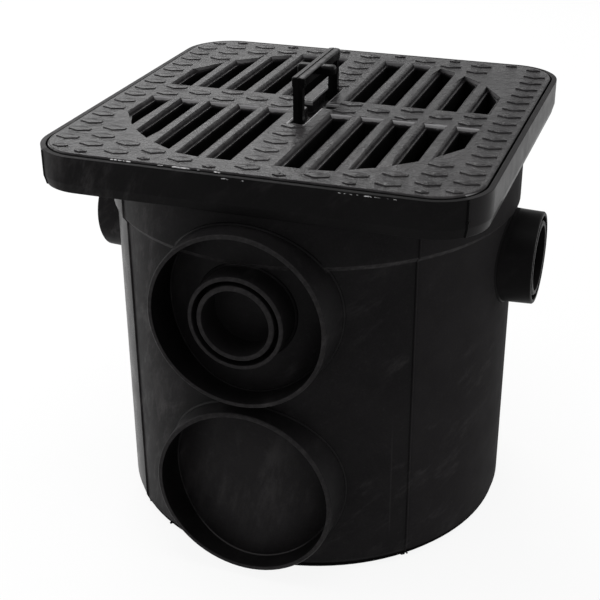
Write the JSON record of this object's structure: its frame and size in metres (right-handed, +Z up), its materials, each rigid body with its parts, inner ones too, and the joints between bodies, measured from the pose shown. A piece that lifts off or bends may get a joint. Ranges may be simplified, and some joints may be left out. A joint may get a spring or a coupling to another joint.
{
  "type": "rainwater drain box",
  "caption": "Round moulded rainwater sump with a square tray on top, a slotted tread grate with a pull-up handle, and closed pipe rings at the front and sides.",
  "frame": {"origin": "centre of the flat underside of the base, on the sump's axis", "axes": "+Z up, -Y towards the side with the two large pipe rings, +X to the right seen from that side"},
  "size_m": [0.328, 0.3115, 0.3281],
  "materials": {
    "basin_plastic": "black satin moulding",
    "grate_plastic": "black satin moulding",
    "handle_plastic": "black satin moulding"
  },
  "bodies": {
    "box": {"drain_basin": "basin_plastic", "slotted_grate": "grate_plastic"},
    "handle": {"lift_handle": "handle_plastic"}
  },
  "joints": [
    {"name": "handle_lift", "type": "slide", "parent": "box", "child": "handle", "axis": [0, 0, 1], "range_m": [-0.0305, 0]}
  ]
}
